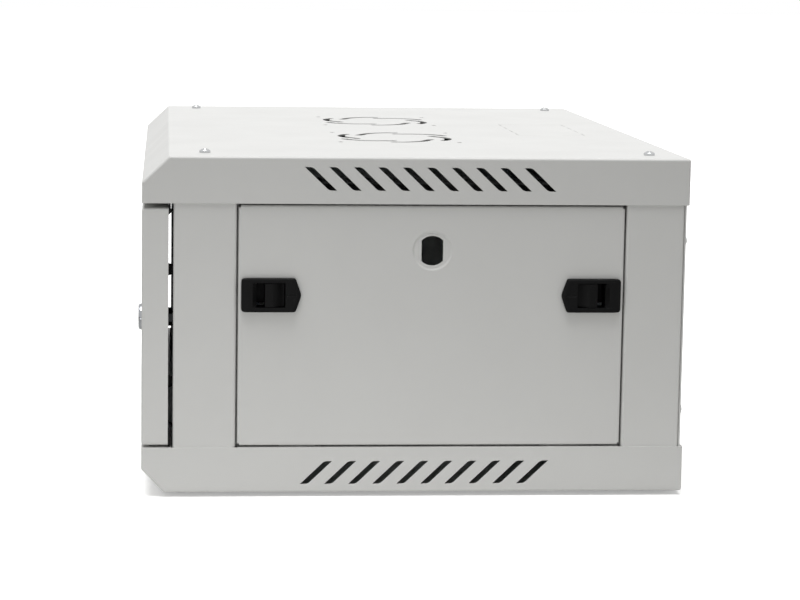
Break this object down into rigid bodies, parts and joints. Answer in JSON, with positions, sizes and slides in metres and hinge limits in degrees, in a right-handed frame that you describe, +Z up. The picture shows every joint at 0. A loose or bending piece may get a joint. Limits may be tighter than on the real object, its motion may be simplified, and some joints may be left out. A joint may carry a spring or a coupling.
{
  "type": "wall mount network cabinet",
  "caption": "Low sheet-steel wall cabinet for 19-inch equipment with a glazed lockable front door, latched side panels, slanted side vents and fan outlets in the top.",
  "frame": {"origin": "on the ground under the middle of the whole cabinet, at the level of the lowest screw heads", "axes": "+Z up, +Y to the wall behind the cabinet, -Y to the door, +X to the right as seen from the front"},
  "size_m": [0.6046, 0.4528, 0.2852],
  "materials": {
    "cover_powder": "light grey powder coat, fine texture",
    "post_powder": "light grey powder coat, fine texture",
    "panel_powder": "light grey powder coat, fine texture",
    "door_powder": "light grey powder coat, fine texture",
    "rail_powder": "light grey powder coat",
    "rail_zinc": "galvanised",
    "latch_plastic": "moulded black",
    "slide_plastic": "moulded black",
    "glass": "clear, toughened",
    "foam": "black foam tape",
    "rubber": "black moulded",
    "nylon": "natural nylon",
    "chrome": "bright",
    "zinc": "zinc plated",
    "screw_zinc": "zinc plated"
  },
  "bodies": {
    "cabinet": {"top_cover": "cover_powder", "bottom_cover": "cover_powder", "rear_panel": "panel_powder", "front_post_right": "post_powder", "front_post_left": "post_powder", "rear_post_right": "post_powder", "rear_post_left": "post_powder", "lower_depth_rail_right": "rail_powder", "lower_depth_rail_left": "rail_powder", "upper_depth_rail_right": "rail_powder", "upper_depth_rail_left": "rail_powder", "front_rack_rail_right": "rail_zinc", "front_rack_rail_left": "rail_zinc", "rear_rack_rail_right": "rail_zinc", "rear_rack_rail_left": "rail_zinc", "hinge_pins": "zinc", "top_cover_screws": "screw_zinc", "bottom_cover_screws": "screw_zinc", "rear_panel_screws": "screw_zinc", "rail_screws": "screw_zinc", "rail_nuts": "screw_zinc"},
    "door": {"door_frame": "door_powder", "door_glass": "glass", "glass_seal": "foam", "door_buffers": "rubber", "door_corner_stops": "latch_plastic", "hinge_plates": "rail_zinc", "hinge_bushes": "nylon", "lock_housing": "chrome", "lock_nut": "zinc"},
    "door_lock": {"lock_plug": "chrome", "lock_cam": "zinc", "lock_cam_screw": "zinc"},
    "right_panel": {"side_panel_right": "panel_powder", "front_latch_housing_right": "latch_plastic", "rear_latch_housing_right": "latch_plastic"},
    "left_panel": {"side_panel_left": "panel_powder", "front_latch_housing_left": "latch_plastic", "rear_latch_housing_left": "latch_plastic"},
    "front_latch_right": {"front_latch_slide_right": "slide_plastic"},
    "rear_latch_right": {"rear_latch_slide_right": "slide_plastic"},
    "front_latch_left": {"front_latch_slide_left": "slide_plastic"},
    "rear_latch_left": {"rear_latch_slide_left": "slide_plastic"}
  },
  "joints": [
    {"name": "door_hinge", "type": "hinge", "parent": "cabinet", "child": "door", "pos_m": [-0.2898, -0.2141, 0.1412], "axis": [0, 0, -1], "range_deg": [0, 180]},
    {"name": "lock_turn", "type": "hinge", "parent": "door", "child": "door_lock", "pos_m": [0.2718, -0.2236, 0.1459], "axis": [0, 1, 0], "range_deg": [0, 90]},
    {"name": "right_panel_tilt", "type": "hinge", "parent": "cabinet", "child": "right_panel", "pos_m": [0.2978, 0.0139, 0.0415], "axis": [0, 1, 0], "range_deg": [0, 30]},
    {"name": "left_panel_tilt", "type": "hinge", "parent": "cabinet", "child": "left_panel", "pos_m": [-0.2978, 0.0139, 0.0415], "axis": [0, -1, 0], "range_deg": [0, 30]},
    {"name": "front_latch_right_slide", "type": "slide", "parent": "right_panel", "child": "front_latch_right", "axis": [0, -1, 0], "range_m": [0, 0.0065]},
    {"name": "rear_latch_right_slide", "type": "slide", "parent": "right_panel", "child": "rear_latch_right", "axis": [0, 1, 0], "range_m": [0, 0.0065]},
    {"name": "front_latch_left_slide", "type": "slide", "parent": "left_panel", "child": "front_latch_left", "axis": [0, -1, 0], "range_m": [0, 0.0065]},
    {"name": "rear_latch_left_slide", "type": "slide", "parent": "left_panel", "child": "rear_latch_left", "axis": [0, 1, 0], "range_m": [0, 0.0065]}
  ]
}
